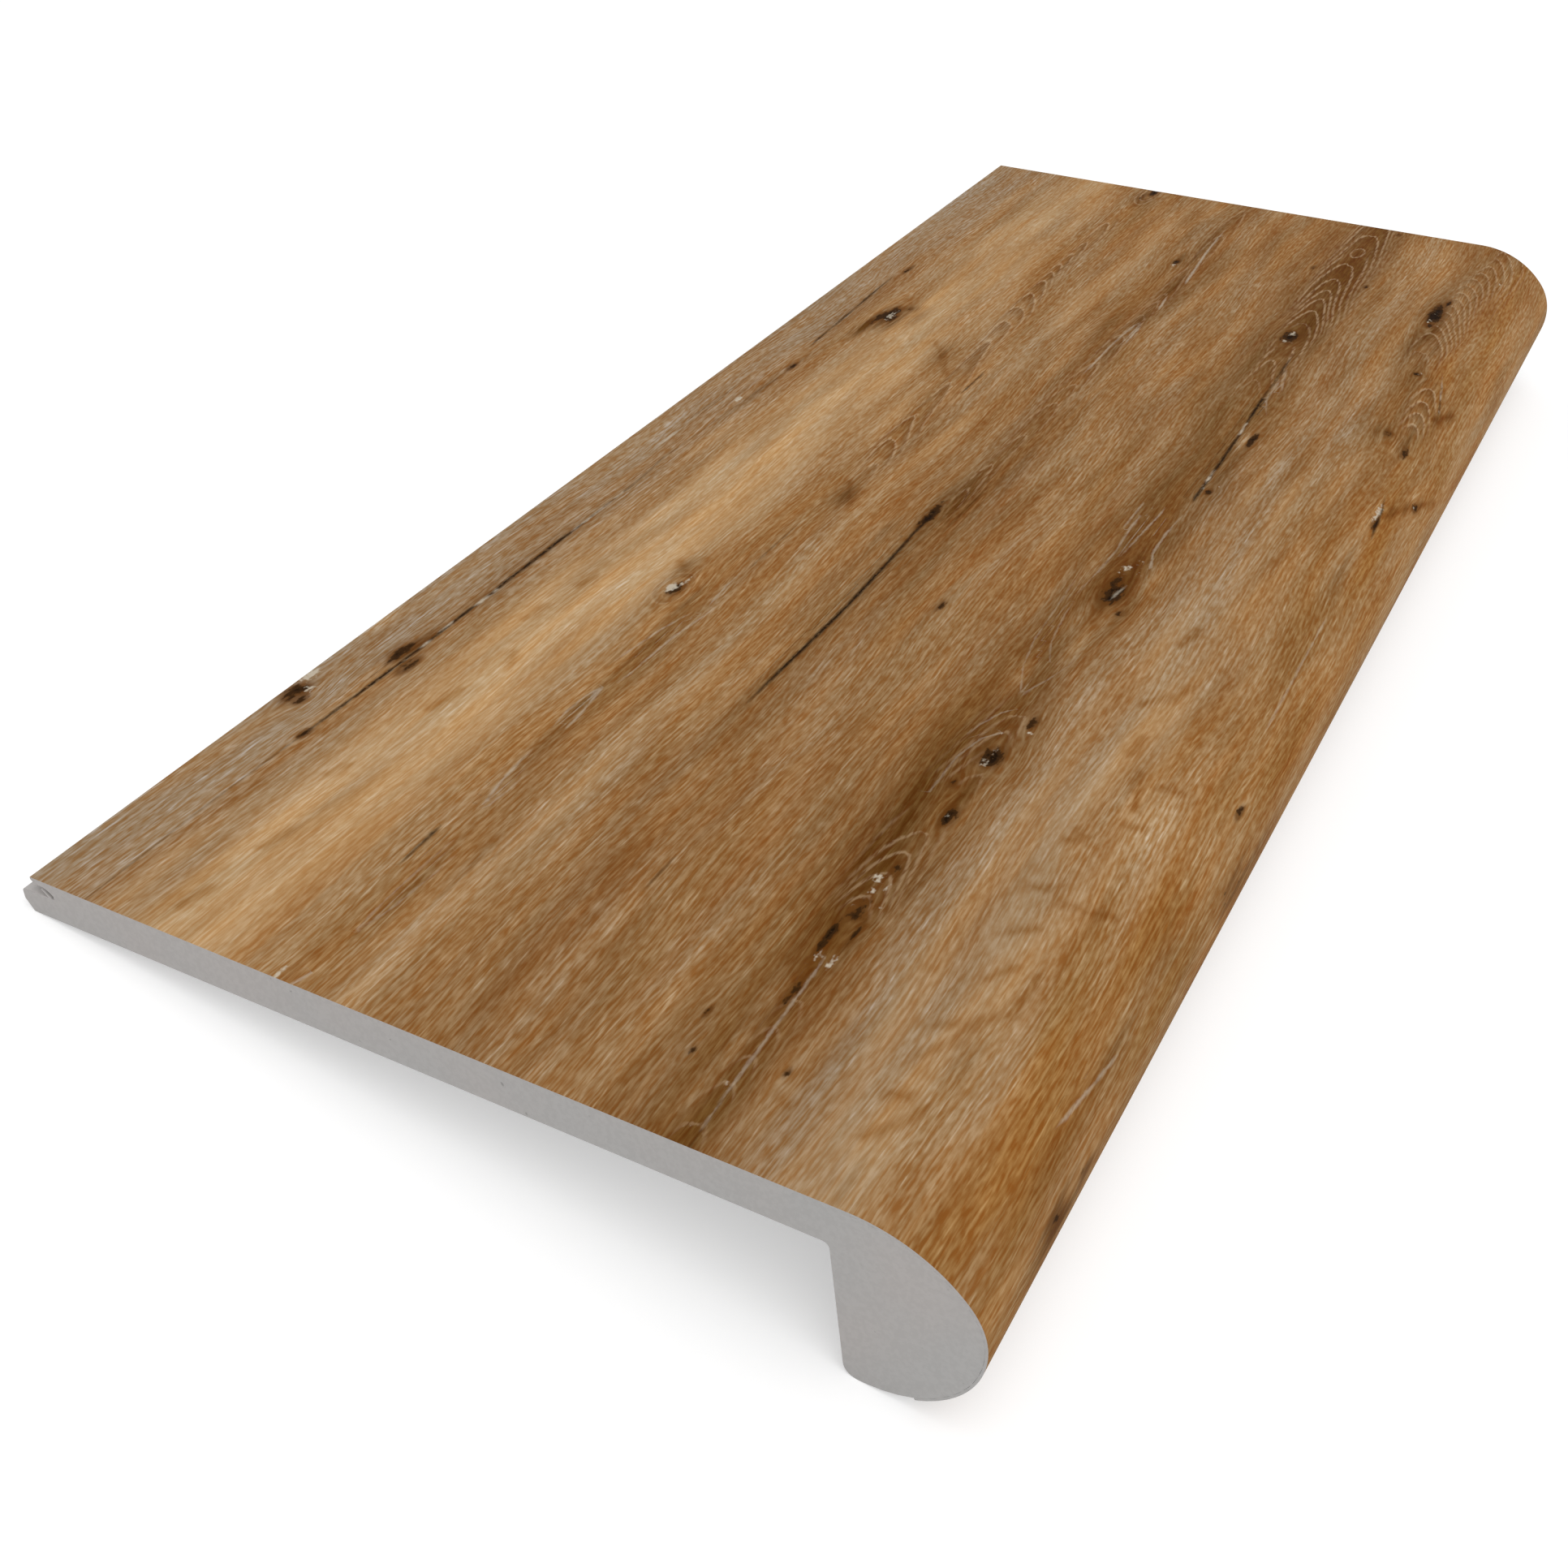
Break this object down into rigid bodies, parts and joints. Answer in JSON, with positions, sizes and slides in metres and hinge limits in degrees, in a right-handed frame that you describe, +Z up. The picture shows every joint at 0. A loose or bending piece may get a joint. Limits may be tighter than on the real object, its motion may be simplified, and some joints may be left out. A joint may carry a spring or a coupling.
{
  "type": "flush stair nosing",
  "caption": "Stair nosing that sits flush with the floor: a flat tread and a rounded, down-turned nose under a wood-look film, with a grooved back edge that locks to a floor plank.",
  "frame": {"origin": "on the floor, under the middle of the nosing's bounding box, lying unheld on its heel and its lower lip", "axes": "+X along the length, -Y the way the nose faces, +Y towards the locking edge, +Z up. The tread leans back by 9.90 degrees about X, as the nosing comes to rest"},
  "size_m": [0.269, 0.115, 0.0224],
  "materials": {
    "grey_core": "matt sawn stone-filled vinyl, mid grey",
    "wood_film": "satin embossed film with a brown knotty oak print"
  },
  "bodies": {
    "root": {"core": "grey_core", "decor_film": "wood_film"}
  },
  "joints": []
}
